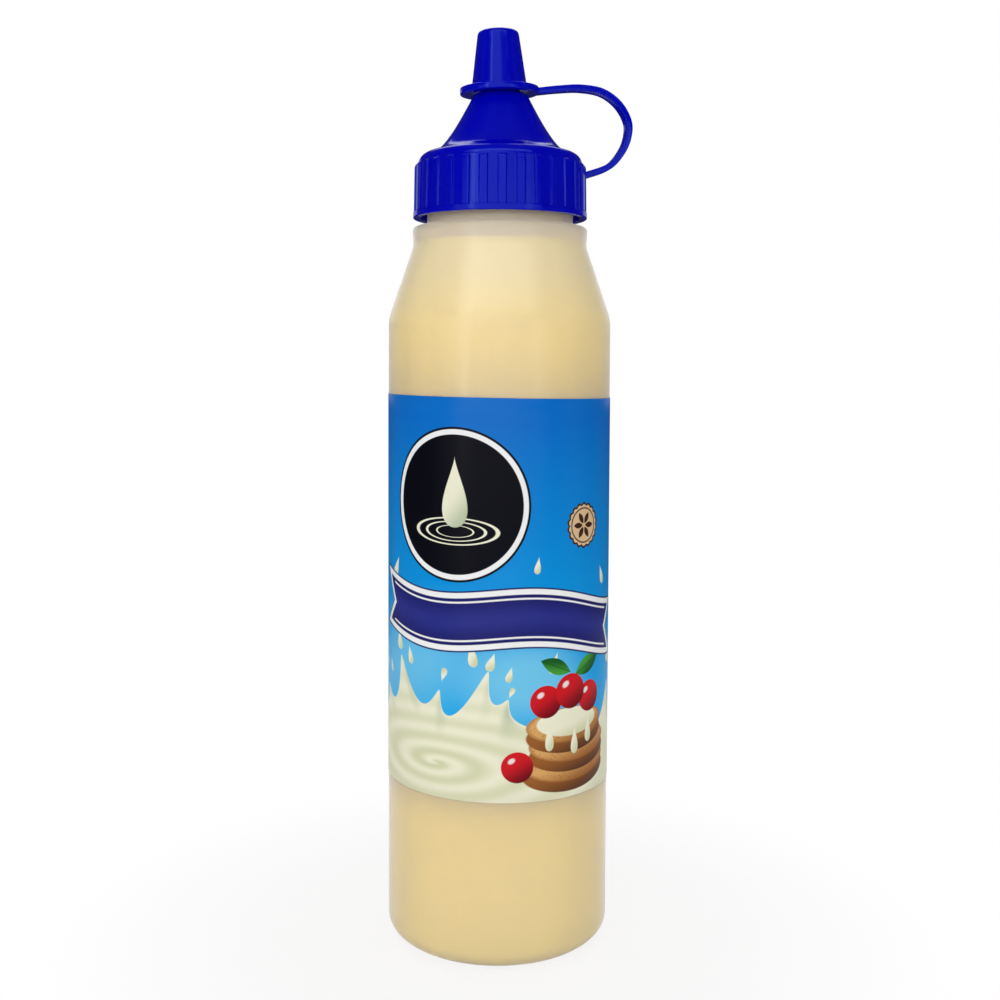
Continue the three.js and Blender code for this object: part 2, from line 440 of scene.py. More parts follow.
# screw cap: ribbed skirt, rounded deck, cone and spout in one moulding
screwCap = {
    "edge": 0.25,
    "skirtBottom": 162.25,
    "skirtRadius": 19.57,
    "skirtInner": 17.9,
    "rimTop": 163.5,
    "rimBlend": 0.2,
    "gripRadius": 19.4,
    # how far below the rim's top and above the ribs' top the ribbed rows reach
    "gripSlack": (0.15, 0.11),
    "landBottom": 19.1,
    "landTop": 18.75,
    "ribTop": 174.15,
    "ribFootRadius": 19.45,
    "ribTopRadius": 19.28,
    "ribTopRound": 0.9,
    "ribTopFall": 0.7,
    "ribs": 30,
    "ribTurn": 1.3,
    # half of a rib and its land: millimetres from the rib's middle, and how much of its height stands there
    "ribSection": [
        (0, 1), (0.4, 1), (0.66, 1), (0.75, 0.985), (0.8, 0.94), (0.835, 0.85), (0.855, 0.74),
        (0.95, 0.12), (0.98, 0.04), (1.05, 0), (1.5, 0),
    ],
    "deckRadius": 18.5,
    "deckTop": 176.7,
    "deckRound": 2.6,
    "deckFall": 3.5,
    "coneFoot": (15.1, 177.05),
    "coneTop": (6.05, 189.75),
    # the ends of the cone's curve and of its inside, as steps from its foot and its top
    "footHandle": (-3, 0.6),
    "topHandle": (1.25, -2.1),
    "insideTop": (-1.4, -1.4),
    "insideFoot": (-4.9, 2.8),
    "insideStep": -2.1,
    "spoutFoot": 4.5,
    "spoutTip": 3.0,
    "spoutTop": 197.5,
    "spoutEdge": 0.3,
    "bore": 1.5,
    "innerDeck": 174.2,
}


def stepFrom(point, step):
    return (point[0] + step[0], point[1] + step[1])


def screwCapProfile():
    c = screwCap
    edge, tipEdge = c["edge"], c["spoutEdge"]
    rim = arcPoints((c["skirtInner"] + edge, c["skirtBottom"] + edge), (edge, edge), 180, 270, 3)
    rim += arcPoints((c["skirtRadius"] - edge, c["skirtBottom"] + edge), (edge, edge), -90, 0, 4)
    # the ribbed rows lie close together at both ends of the ribs, where the ribs are rounded
    heights = [c["rimTop"] + 0.05 * i for i in range(-2, 9)]
    heights += [c["rimTop"] + 0.5 + i for i in range(1, 9)]
    heights += [c["ribTop"] - 1.2 + 0.1 * i for i in range(14)]
    rows = [(c["skirtRadius"], c["rimTop"] - 0.2)] + [(c["gripRadius"], height) for height in heights]
    shoulder = [(c["deckRadius"] + 0.04, c["ribTop"] + 0.2), (c["deckRadius"], c["ribTop"] + 0.3)]
    deck = arcPoints(
        (c["deckRadius"] - c["deckRound"], c["deckTop"] - c["deckRound"]),
        (c["deckRound"], c["deckRound"]), 0, 90 - c["deckFall"], 12,
    )
    foot, top = c["coneFoot"], c["coneTop"]
    flat = linePoints(deck[-1], (foot[0] + 0.35, foot[1] - 0.12), 2)[1:]
    cone = curvePoints(foot, stepFrom(foot, c["footHandle"]), stepFrom(top, c["topHandle"]), top, 24)
    spout = [
        (c["spoutFoot"], top[1]), (c["spoutTip"], c["spoutTop"] - tipEdge),
        (c["spoutTip"] - tipEdge, c["spoutTop"]), (c["bore"], c["spoutTop"]), (c["bore"], top[1]),
        stepFrom(top, c["insideTop"]), stepFrom(foot, c["insideFoot"]),
        (foot[0] + c["insideStep"], c["innerDeck"]), (c["skirtInner"], c["innerDeck"]),
    ]
    return rim + rows + shoulder + deck + flat + cone + spout


def ribRadius(share, height):
    # the skirt's outside at this height, for a place where this share of a rib's height stands
    c = screwCap
    rise = (height - c["rimTop"]) / (c["ribTop"] - c["rimTop"])
    land = c["landBottom"] + (c["landTop"] - c["landBottom"]) * rise
    crest = c["ribFootRadius"] + (c["ribTopRadius"] - c["ribFootRadius"]) * max(rise, 0)
    below = c["ribTop"] - height
    if below < c["ribTopRound"]:
        lost = 1 - max(below, 0) / c["ribTopRound"]
        crest -= c["ribTopRound"] * c["ribTopFall"] * (1 - math.sqrt(1 - min(lost, 1) ** 2))
    radius = land + (max(crest, land) - land) * share
    rimShare = min(max((height - c["rimTop"]) / c["rimBlend"], 0), 1)
    return c["skirtRadius"] + (radius - c["skirtRadius"]) * rimShare


def raiseRibs(bm):
    # every column of points moves to its place across a rib, and stands out as far as the rib does there
    c = screwCap
    half = c["ribSection"]
    betweenRibs = (math.pi * c["gripRadius"] / c["ribs"], 0)
    columns = half + [betweenRibs] + [(-x, share) for x, share in half[:0:-1]]
    spacing = 360 / c["ribs"]
    low, high = c["rimTop"] - c["gripSlack"][0], c["ribTop"] + c["gripSlack"][1]
    for vert in bm.verts:
        height = vert.co.z / mm
        radius = vert.co.xy.length / mm
        if radius < 0.01:
            continue
        turned = math.degrees(math.atan2(vert.co.y, vert.co.x)) / spacing * len(columns)
        rib, column = divmod(round(turned) % (len(columns) * c["ribs"]), len(columns))
        across, share = columns[column]
        angle = math.radians(rib * spacing - 90 + c["ribTurn"]) + across / c["gripRadius"]
        if across < 0:
            angle += 2 * math.pi / c["ribs"]
        if radius > c["deckRadius"] + 0.2 and low <= height <= high:
            radius = ribRadius(share, height)
        vert.co.x, vert.co.y = radius * math.cos(angle) * mm, radius * math.sin(angle) * mm


bluePlasticLook = {
    "color": rgb(0, 1, 190),
    "deep": rgb(0, 0, 180),
    "gloss": 0.16,
    "highlight": (0.4, 0.66, 1.0, 1.0),
    "shine": 0.35,
}


def makeBluePlastic():
    look = bluePlasticLook
    material, tree, shader = newMaterial("bluePlastic")
    coords = objectCoords(tree)
    moulded = useGroup(
        tree, mouldedGroup, Vector=coords, WaveScale=70.0, GrainScale=1500.0, GrainShare=0.06,
        Gloss=look["gloss"], GlossDrift=0.06,
    )
    cloud = mapValue(tree, moulded["Cloud"], 0.3, 0.7, 0.0, 1.0)
    tree.links.new(blendColor(tree, cloud, look["color"], look["deep"]), shader.inputs["Base Color"])
    tree.links.new(moulded["Roughness"], shader.inputs["Roughness"])
    shader.inputs["IOR"].default_value = 1.49
    shader.inputs["Specular IOR Level"].default_value = look["shine"]
    shader.inputs["Specular Tint"].default_value = look["highlight"]
    addBump(tree, shader, moulded["Height"], distance=0.00012, strength=0.35)
    return material


bluePlastic = makeBluePlastic()
capMesh = spinProfile(screwCapProfile(), screwCap["ribs"] * 2 * len(screwCap["ribSection"]))
raiseRibs(capMesh)
bmesh.ops.recalc_face_normals(capMesh, faces=capMesh.faces)
makePiece(capMesh, "screwCapMoulding", bluePlastic, "screw_cap", 40)
print("screw cap made")


# tip cap: a tapered stopper on a flange, leaning a little, and the strap that tethers it
tipCap = {
    "steps": 96,
    "flangeBottom": 190.05,
    "flangeTop": 191.55,
    "flangeRadius": 8.87,
    "footRadius": 6.17,
    "topRadius": 4.67,
    "top": 204.05,
    "round": 1.2,
    "edge": 0.28,
    "fillet": 0.45,
    "mouthEdge": 0.2,
    # radius and depth of each point of the shallow dish in its top
    "dish": [(2.2, 0), (2.0, 0.12), (0, 0.15)],
    "boreFoot": 5.3,
    "boreTip": 3.8,
    "boreTop": 198.5,
    "lean": math.radians(-1.5),
    "nod": math.radians(2.0),
    "aside": -0.25,
}
strap = {
    "route": [
        (8.0, 191.0), (13.0, 191.65), (18.0, 192.0), (23.0, 191.3), (26.8, 188.8),
        (29.05, 185.2), (29.25, 181.9), (27.9, 178.2), (24.7, 174.6), (19.0, 172.4),
    ],
    "thickness": 1.45,
    "width": 2.4,
    "turn": math.radians(8),
    "twist": math.radians(-9),
    "corner": 0.2,
    "steps": 90,
}


def tipCapProfile():
    c = tipCap
    edge, mouthEdge, soft, crownRound = c["edge"], c["mouthEdge"], c["fillet"], c["round"]
    foot = arcPoints(
        (c["boreFoot"] + mouthEdge, c["flangeBottom"] + mouthEdge), (mouthEdge, mouthEdge), 180, 270, 2,
    )
    flange = arcPoints((c["flangeRadius"] - edge, c["flangeBottom"] + edge), (edge, edge), -90, 0, 4)
    flange += arcPoints((c["flangeRadius"] - edge, c["flangeTop"] - edge), (edge, edge), 0, 90, 4)
    fillet = arcPoints((c["footRadius"] + soft, c["flangeTop"] + soft), (soft, soft), 270, 180, 4)
    crownCentre = (c["topRadius"] - crownRound, c["top"] - crownRound)
    crown = arcPoints(crownCentre, (crownRound, crownRound), 8, 84, 8)
    side = linePoints(fillet[-1], crown[0], 8)[1:-1]
    dish = [(radius, c["top"] - depth) for radius, depth in c["dish"]]
    bore = [(0, c["boreTop"]), (c["boreTip"], c["boreTop"])]
    return foot + flange + fillet + side + crown + dish + bore


def leanTip(bm):
    pivot = Vector((0, 0, tipCap["flangeBottom"] * mm))
    turn = Matrix.Rotation(tipCap["nod"], 3, "X") @ Matrix.Rotation(tipCap["lean"], 3, "Y")
    bmesh.ops.rotate(bm, verts=bm.verts, cent=pivot, matrix=turn)
    bmesh.ops.translate(bm, verts=bm.verts, vec=(tipCap["aside"] * mm, 0, 0))


def routePoint(t):
    # a smooth curve through the strap's points
    points = [Vector((x, 0, z)) for x, z in strap["route"]]
    points = [2 * points[0] - points[1]] + points + [2 * points[-1] - points[-2]]
    spans = len(points) - 3
    k = min(int(t * spans), spans - 1)
    u = t * spans - k
    a, b, c, d = points[k:k + 4]
    square = (2 * a - 5 * b + 4 * c - d) * u * u
    cube = (3 * b - a - 3 * c + d) * u ** 3
    return 0.5 * (2 * b + (c - a) * u + square + cube)


def strapPlace(t):
    # where the strap's section stands at this share of its length, and how it is turned
    near = 0.004
    along = (routePoint(min(t + near, 1)) - routePoint(max(t - near, 0))).normalized()
    across = Vector((0, 1, 0))
    out = along.cross(across).normalized()
    turn = Matrix((across, out, along)).transposed().to_4x4()
    twist = strap["twist"] * math.sin(math.pi * t) ** 2
    place = Matrix.Translation(routePoint(t) * mm)
    return Matrix.Rotation(strap["turn"], 4, "Z") @ place @ turn @ Matrix.Rotation(twist, 4, "Z")


def strapSection(bm):
    # a rectangle with soft corners, standing at the start of the route
    x, y = strap["width"] / 2 * mm, strap["thickness"] / 2 * mm
    corners = [bm.verts.new(place) for place in ((-x, -y, 0), (x, -y, 0), (x, y, 0), (-x, y, 0))]
    bm.faces.new(corners)
    bmesh.ops.bevel(
        bm, geom=corners, offset=strap["corner"] * mm, segments=4, profile=0.5,
        affect="VERTICES", material=-1,
    )
    return list(bm.faces)[0]


def strapMesh():
    bm = bmesh.new()
    face = strapSection(bm)
    place = strapPlace(0)
    bmesh.ops.transform(bm, matrix=place, verts=bm.verts)
    edges = list(face.edges)
    for i in range(1, strap["steps"] + 1):
        made = bmesh.ops.extrude_edge_only(bm, edges=edges)["geom"]
        verts = [item for item in made if isinstance(item, bmesh.types.BMVert)]
        edges = [
            item for item in made
            if isinstance(item, bmesh.types.BMEdge) and all(v in verts for v in item.verts)
        ]
        t = i / strap["steps"]
        following = strapPlace(t)
        bmesh.ops.transform(bm, matrix=following @ place.inverted(), verts=verts)
        place = following
    bmesh.ops.holes_fill(bm, edges=edges)
    bmesh.ops.recalc_face_normals(bm, faces=bm.faces)
    return bm


tipMesh = spinProfile(tipCapProfile(), tipCap["steps"])
leanTip(tipMesh)
makePiece(tipMesh, "tipCapStopper", bluePlastic, "tip_cap", 40)
makePiece(strapMesh(), "tetherStrap", bluePlastic, "tip_cap", 60)
print("tip cap and strap made")


# label: printed glossy film wrapped once round, with its lap at the back
def labelMesh():
    edge = label["edge"]
    inner = bottle["radius"] + label["lift"]
    outer = inner + label["thickness"]
    low, high = label["bottom"], label["top"]
    profile = [(inner, low), (outer - edge, low), (outer, low + edge)]
    profile += linePoints((outer, low + edge), (outer, high - edge), label["rows"])[1:]
    profile += [(outer - edge, high), (inner, high)]
    bm = spinProfile(profile, label["steps"])
    for vert in bm.verts:
        vert.co.z -= label["skew"] * vert.co.x
        fromBack = abs(math.atan2(vert.co.x, vert.co.y))
        if fromBack < label["lap"] and vert.co.x >= -1e-7:
            vert.co.xy *= 1 + label["lapLift"] / bottle["radius"]
    return bm


# label print, in millimetres: across runs round the bottle from the front's middle, and up is the height
ink = {
    "blueTop": rgb(0, 112, 206),
    "blueLow": rgb(0, 170, 240),
    "glow": rgb(120, 208, 244),
    "navy": rgb(28, 30, 104),
    "navyLight": rgb(44, 50, 140),
    "black": rgb(9, 10, 20),
    "white": rgb(250, 250, 250),
    "cream": rgb(246, 245, 218),
    "creamShade": rgb(218, 220, 178),
    "creamDeep": rgb(186, 198, 166),
    "tan": rgb(226, 192, 150),
    "brown": rgb(66, 38, 28),
    "biscuit": rgb(226, 172, 104),
    "biscuitDark": rgb(158, 96, 44),
    "cherry": rgb(214, 22, 34),
    "cherryDark": rgb(112, 4, 20),
    "leaf": rgb(72, 158, 58),
    "leafDark": rgb(18, 92, 34),
}
printPlan = {
    "soft": 0.09,
    "groundFade": (118.0, 56.0),
    # pale glows on the ground: middle, half sizes, turn, how far in each grows, and its strength
    "glows": [((-20, 66), (26, 17), 18, 0.9, 0.75), ((6, 63), (20, 13), 0, 0.8, 0.9)],
    "roundel": (-9.5, 100.0, 16.4),
    "roundelLayers": [(0.0, "black"), (0.5, "white"), (1.6, "black")],
    "roundelDrop": (2.6, 3.7, 7.4),
    "ripplesDown": 5.6,
    "ripples": [9.4, 6.8, 4.2],
    "rippleFlat": 0.3,
    "seal": (20.5, 95.5, 5.0),
    "sealScallops": 9.0,
    "sealDepth": 0.09,
    "sealRing": 0.74,
    # how far out a petal's middle lies, and its half sizes
    "petal": (1.75, 1.35, 0.62),
    "ribbonUp": 75.5,
    "ribbonHalf": 5.0,
    "ribbonReach": (-31.0, 33.0),
    # waves that close up round the bottle: how many, their height and their shift
    "ribbonWaves": [(3, 1.7, 0.4), (1, -2.2, 0.0)],
    "ribbonLayers": [(1.5, "navy"), (1.15, "white"), (0.0, "navy")],
    "ribbonNotch": 0.7,
    # the ribbon's thin rules: in from its edge, in from its ends, and half their width
    "ribbonRules": (0.9, 1.8, 0.1),
    "poolUp": 52.0,
    "poolWaves": [(2, 2.0, 2.3), (5, 1.0, 0.8), (9, 0.4, 2.0)],
    "swirl": (-14.0, 44.5, 11.5, 3.6),
    "drops": [
        (-27.5, 84.5, 1.5, 3.0, -24), (-21.5, 66.5, 1.0, 2.0, 12), (-5.5, 68.5, 1.3, 2.7, 8),
        (2.5, 64.5, 0.9, 1.7, -16), (28.0, 84.0, 1.1, 2.2, 20), (8.5, 87.5, 0.9, 1.8, -8),
        (-30.5, 62.5, 0.8, 1.5, 20), (33.5, 66.0, 1.4, 2.6, -14), (12.5, 66.5, 1.1, 2.4, -20),
    ],
    # splashes on the pool's edge: place across, height, width, lean, and half the bead's width
    "splashes": [
        (-31.0, 5.5, 2.2, -0.35, 0.8), (-22.0, 12.5, 2.6, -0.22, 1.3), (-15.5, 7.0, 1.7, 0.30, 0.9),
        (-6.5, 10.5, 2.3, 0.34, 1.2), (-1.0, 4.0, 1.6, 0.45, 0.7), (31.5, 8.0, 2.6, 0.25, 1.0),
    ],
    "splashPoint": 0.2,
    "beadUp": 4.6,
    "beadTall": 1.7,
    "biscuits": [(17.0, 44.6, 11.8, 4.1), (17.8, 48.7, 11.2, 3.9), (16.8, 52.8, 10.8, 3.8)],
    "biscuitThick": 2.2,
    "creamUp": 0.6,
    "creamShare": (0.78, 0.8),
    "drips": [(-5.4, -2.2), (1.2, -3.6), (5.6, -1.8)],
    "dripHalf": (1.3, 3.0),
    "cherries": [(10.6, 58.3, 3.7), (22.8, 58.1, 3.6), (16.9, 60.0, 4.0), (4.2, 44.6, 3.5)],
    "leaves": [(22.2, 65.2, 4.4, 1.9, 24), (13.0, 65.7, 4.0, 1.7, 158)],
    "panelHalf": 22.0,
    "panel": (45.0, 112.0),
    "panelCorner": 3.0,
    "panelRules": [0.25, 1.6],
}


def clampTo(group, value, soft):
    # a mask whose edge runs this far either side of nought
    return mapValue(group, value, calc(group, "MULTIPLY", soft, -1.0), soft, 0.0, 1.0, smooth=True)


def lengthOf(tree, x, y):
    square = calc(tree, "ADD", calc(tree, "MULTIPLY", x, x), calc(tree, "MULTIPLY", y, y))
    return calc(tree, "SQRT", square)


def localAxes(group, given):
    # the place on the label seen from a motif's own centre, turned and scaled to its half sizes
    across = calc(group, "SUBTRACT", given["Across"], given["CentreX"])
    up = calc(group, "SUBTRACT", given["Up"], given["CentreY"])
    cos, sin = calc(group, "COSINE", given["Turn"]), calc(group, "SINE", given["Turn"])
    sideX = calc(group, "ADD", calc(group, "MULTIPLY", across, cos), calc(group, "MULTIPLY", up, sin))
    sideY = calc(group, "SUBTRACT", calc(group, "MULTIPLY", up, cos), calc(group, "MULTIPLY", across, sin))
    return (
        calc(group, "DIVIDE", sideX, given["HalfWidth"]), calc(group, "DIVIDE", sideY, given["HalfHeight"]),
    )


def motifGroup(name, edgeOf):
    # edgeOf gives how far inside the motif's edge a place is, from its local axes
    floats = ("Across", "Up", "CentreX", "CentreY", "HalfWidth", "HalfHeight", "Turn")
    inputs = [(title, "NodeSocketFloat", 1.0) for title in floats]
    outputs = [(title, "NodeSocketFloat") for title in ("Mask", "Inside", "SideX", "SideY")]
    group, given, out = newGroup(name, inputs, outputs)
    sideX, sideY = localAxes(group, given)
    inside = edgeOf(group, sideX, sideY)
    smaller = calc(group, "MINIMUM", given["HalfWidth"], given["HalfHeight"])
    soft = calc(group, "DIVIDE", printPlan["soft"], smaller)
    plug(group, out["Mask"], clampTo(group, inside, soft))
    plug(group, out["Inside"], inside)
    plug(group, out["SideX"], sideX)
    plug(group, out["SideY"], sideY)
    return group


def ovalEdge(group, x, y):
    return calc(group, "SUBTRACT", 1.0, lengthOf(group, x, y))


def dropEdge(group, x, y):
    # round below, drawn out to a point above
    upper = calc(group, "MULTIPLY", calc(group, "SUBTRACT", 1.0, y), 0.5, clamp=True)
    lower = calc(group, "MULTIPLY", calc(group, "ADD", 1.0, y), 0.5, clamp=True)
    taper = calc(group, "MULTIPLY", calc(group, "SQRT", lower), calc(group, "POWER", upper, 1.4))
    sideways = calc(group, "SUBTRACT", calc(group, "MULTIPLY", taper, 2.35), calc(group, "ABSOLUTE", x))
    return calc(group, "MINIMUM", sideways, calc(group, "SUBTRACT", 1.0, calc(group, "ABSOLUTE", y)))


def leafEdge(group, x, y):
    width = calc(group, "SUBTRACT", 1.0, calc(group, "MULTIPLY", x, x))
    return calc(group, "SUBTRACT", width, calc(group, "ABSOLUTE", y))


def sealEdge(group, x, y):
    # a disc with a scalloped edge
    turns = calc(group, "MULTIPLY", calc(group, "ARCTAN2", y, x), printPlan["sealScallops"])
    wave = calc(group, "ABSOLUTE", calc(group, "SINE", turns))
    wave = calc(group, "MULTIPLY", wave, printPlan["sealDepth"])
    return calc(group, "ADD", calc(group, "SUBTRACT", ovalEdge(group, x, y), printPlan["sealDepth"]), wave)


ovalGroup = motifGroup("ovalMotif", ovalEdge)
dropGroup = motifGroup("dropMotif", dropEdge)
leafGroup = motifGroup("leafMotif", leafEdge)
sealGroup = motifGroup("sealMotif", sealEdge)


def motif(tree, group, place, centre, half, turn=0):
    return useGroup(
        tree, group, Across=place[0], Up=place[1], CentreX=centre[0], CentreY=centre[1],
        HalfWidth=half[0], HalfHeight=half[1], Turn=math.radians(turn),
    )


def litFill(tree, shape, dark, light, low=-1.0, high=1.0):
    # light from the upper left
    slope = calc(tree, "SUBTRACT", shape["SideY"], calc(tree, "MULTIPLY", shape["SideX"], 0.6))
    return blendColor(tree, mapValue(tree, slope, low, high, 0.0, 1.0, smooth=True), dark, light)


def paintCream(tree, shape, color, low, high):
    fill = litFill(tree, shape, ink["creamShade"], ink["cream"], low, high)
    return blendColor(tree, shape["Mask"], color, fill)


def paintGround(tree, place):
    fade = mapValue(tree, place[1], *printPlan["groundFade"], 0.0, 1.0)
    color = blendColor(tree, fade, ink["blueTop"], ink["blueLow"])
    for centre, half, turn, reach, strength in printPlan["glows"]:
        glow = motif(tree, ovalGroup, place, centre, half, turn)
        mask = mapValue(tree, glow["Inside"], 0.0, reach, 0.0, strength, smooth=True)
        color = blendColor(tree, mask, color, ink["glow"])
    return color


def paintDrops(tree, place, color):
    for x, y, halfX, halfY, turn in printPlan["drops"]:
        shape = motif(tree, dropGroup, place, (x, y), (halfX, halfY), turn)
        color = paintCream(tree, shape, color, -0.9, 0.1)
    return color


def waveLine(tree, across, waveList):
    # a level made of sine waves
    level = None
    for waves, height, shift in waveList:
        angle = calc(tree, "ADD", calc(tree, "MULTIPLY", across, waves / label["printRadius"]), shift)
        wave = calc(tree, "MULTIPLY", calc(tree, "SINE", angle), height)
        level = wave if level is None else calc(tree, "ADD", level, wave)
    return level


def paintBead(tree, place, color, splash):
    # a large bead is drawn out along its splash's lean, and a small one falls point down
    x, height, width, lean, bead = splash
    rise = height + printPlan["beadUp"]
    centre = (x + lean * rise, printPlan["poolUp"] + rise)
    turn = math.degrees(math.atan(-lean)) + 180 * (bead < 1)
    shape = motif(tree, dropGroup, place, centre, (bead, bead * printPlan["beadTall"]), turn)
    return paintCream(tree, shape, color, -0.9, 0.3)


def swirlFill(tree, place):
    x, y, halfX, halfY = printPlan["swirl"]
    swirl = motif(tree, ovalGroup, place, (x, y), (halfX, halfY))
    reach = calc(tree, "SUBTRACT", 1.0, swirl["Inside"])
    spin = calc(tree, "ARCTAN2", swirl["SideY"], swirl["SideX"])
    phase = calc(tree, "ADD", calc(tree, "MULTIPLY", calc(tree, "POWER", reach, 0.8), 9.0), spin)
    ripple = mapValue(tree, calc(tree, "SINE", phase), -1.0, 1.0, 0.0, 1.0)
    fade = mapValue(tree, reach, 0.3, 4.5, 0.95, 0.3)
    return blendColor(tree, calc(tree, "MULTIPLY", ripple, fade), ink["cream"], ink["creamShade"])


def paintPool(tree, place, color):
    # the pool's level rises to a leaning point at each splash, and the point's right side is shaded
    across, up = place
    level = calc(tree, "ADD", waveLine(tree, across, printPlan["poolWaves"]), printPlan["poolUp"])
    rise = calc(tree, "SUBTRACT", up, printPlan["poolUp"])
    point = printPlan["splashPoint"]
    shaded = 0.0
    for splash in printPlan["splashes"]:
        x, height, width, lean, bead = splash
        middle = calc(tree, "ADD", calc(tree, "MULTIPLY", rise, lean), x)
        off = calc(tree, "DIVIDE", calc(tree, "SUBTRACT", across, middle), width)
        away = calc(tree, "SQRT", calc(tree, "ADD", calc(tree, "MULTIPLY", off, off), point * point))
        bump = calc(tree, "EXPONENT", calc(tree, "SUBTRACT", point, away))
        level = calc(tree, "ADD", level, calc(tree, "MULTIPLY", bump, height))
        shaded = calc(tree, "ADD", shaded, calc(tree, "MULTIPLY", bump, off))
        color = paintBead(tree, place, color, splash)
    depth = calc(tree, "SUBTRACT", level, up)
    mask = mapValue(tree, depth, -printPlan["soft"], printPlan["soft"], 0.0, 1.0)
    side = calc(tree, "MULTIPLY", shaded, mapValue(tree, depth, 0.0, 7.0, 1.3, 0.0, smooth=True), clamp=True)
    fill = blendColor(tree, side, swirlFill(tree, place), ink["creamDeep"])
    rim = calc(tree, "MULTIPLY", mapValue(tree, depth, 0.1, 0.7, 1.0, 0.0, smooth=True), 0.8)
    return blendColor(tree, mask, color, blendColor(tree, rim, fill, ink["cream"]))


def paintBiscuits(tree, place, color):
    crumb = noiseOn(tree, objectCoords(tree), 1500.0, 3.0, 0.65)
    for x, y, halfX, halfY in printPlan["biscuits"]:
        side = motif(tree, ovalGroup, place, (x, y - printPlan["biscuitThick"]), (halfX, halfY))
        shade = litFill(tree, side, ink["brown"], ink["biscuitDark"], -1.6, 0.4)
        color = blendColor(tree, side["Mask"], color, shade)
        top = motif(tree, ovalGroup, place, (x, y), (halfX, halfY))
        fill = litFill(tree, top, ink["biscuitDark"], ink["biscuit"], -1.3, 0.2)
        spots = mapValue(tree, crumb, 0.56, 0.62, 0.0, 0.5)
        fill = blendColor(tree, spots, fill, ink["biscuitDark"])
        rim = mapValue(tree, top["Inside"], 0.02, 0.12, 0.55, 0.0, smooth=True)
        color = blendColor(tree, top["Mask"], color, blendColor(tree, rim, fill, ink["biscuitDark"]))
    x, y, halfX, halfY = printPlan["biscuits"][-1]
    wide, tall = printPlan["creamShare"]
    cream = motif(tree, ovalGroup, place, (x, y + printPlan["creamUp"]), (halfX * wide, halfY * tall))
    color = paintCream(tree, cream, color, -1.2, 0.0)
    for across, up in printPlan["drips"]:
        drip = motif(tree, dropGroup, place, (x + across, y + up), printPlan["dripHalf"])
        color = paintCream(tree, drip, color, -1.0, 0.2)
    return color


def paintCherries(tree, place, color):
    for x, y, halfX, halfY, turn in printPlan["leaves"]:
        leaf = motif(tree, leafGroup, place, (x, y), (halfX, halfY), turn)
        fill = litFill(tree, leaf, ink["leafDark"], ink["leaf"], -0.8, 0.9)
        vein = mapValue(tree, calc(tree, "ABSOLUTE", leaf["SideY"]), 0.02, 0.12, 0.8, 0.0)
        color = blendColor(tree, leaf["Mask"], color, blendColor(tree, vein, fill, ink["leafDark"]))
    for x, y, half in printPlan["cherries"]:
        ball = motif(tree, ovalGroup, place, (x, y), (half, half * 0.95))
        fill = litFill(tree, ball, ink["cherryDark"], ink["cherry"], -1.2, 0.5)
        spot = motif(tree, ovalGroup, place, (x - half * 0.36, y + half * 0.4), (half * 0.3, half * 0.2), 32)
        shine = mapValue(tree, spot["Inside"], 0.0, 0.5, 0.0, 0.85, smooth=True)
        fill = blendColor(tree, shine, fill, ink["white"])
        color = blendColor(tree, ball["Mask"], color, fill)
    return color


def paintRibbon(tree, place, color):
    across, up = place
    start, end = printPlan["ribbonReach"]
    half, soft = printPlan["ribbonHalf"], printPlan["soft"]
    line = calc(tree, "ADD", waveLine(tree, across, printPlan["ribbonWaves"]), printPlan["ribbonUp"])
    off = calc(tree, "ABSOLUTE", calc(tree, "SUBTRACT", up, line))
    sideways = calc(tree, "ABSOLUTE", calc(tree, "SUBTRACT", across, (start + end) / 2))
    tail = calc(tree, "SUBTRACT", (end - start) / 2, sideways)
    cut = calc(tree, "MULTIPLY", calc(tree, "SUBTRACT", half, off), printPlan["ribbonNotch"])
    notch = calc(tree, "SUBTRACT", tail, cut)
    for grow, paint in printPlan["ribbonLayers"]:
        wide = mapValue(tree, calc(tree, "SUBTRACT", half + grow, off), -soft, soft, 0.0, 1.0)
        long = mapValue(tree, calc(tree, "ADD", notch, grow), -soft, soft, 0.0, 1.0)
        fill = ink[paint]
        if grow == 0:
            sheen = mapValue(tree, off, 0.0, half, 0.9, 0.0, smooth=True)
            fill = blendColor(tree, sheen, fill, ink["navyLight"])
        color = blendColor(tree, calc(tree, "MULTIPLY", wide, long), color, fill)
    fromEdge, fromEnd, thin = printPlan["ribbonRules"]
    rule = calc(tree, "ABSOLUTE", calc(tree, "SUBTRACT", off, half - fromEdge))
    rule = mapValue(tree, rule, thin, thin + soft * 2, 1.0, 0.0)
    inner = mapValue(tree, notch, fromEnd, fromEnd + soft * 2, 0.0, 1.0)
    return blendColor(tree, calc(tree, "MULTIPLY", rule, inner), color, ink["white"])


def paintRoundel(tree, place, color):
    x, y, half = printPlan["roundel"]
    for inset, paint in printPlan["roundelLayers"]:
        disc = motif(tree, ovalGroup, place, (x, y), (half - inset, half - inset))
        color = blendColor(tree, disc["Mask"], color, ink[paint])
    for size in printPlan["ripples"]:
        centre = (x, y - printPlan["ripplesDown"])
        ring = motif(tree, ovalGroup, place, centre, (size, size * printPlan["rippleFlat"]))
        line = mapValue(tree, calc(tree, "ABSOLUTE", ring["Inside"]), 0.035, 0.06, 1.0, 0.0)
        color = blendColor(tree, line, color, ink["cream"])
    up, halfX, halfY = printPlan["roundelDrop"]
    drop = motif(tree, dropGroup, place, (x, y + up), (halfX, halfY))
    fill = litFill(tree, drop, ink["creamDeep"], ink["cream"], -1.3, 0.1)
    return blendColor(tree, drop["Mask"], color, fill)


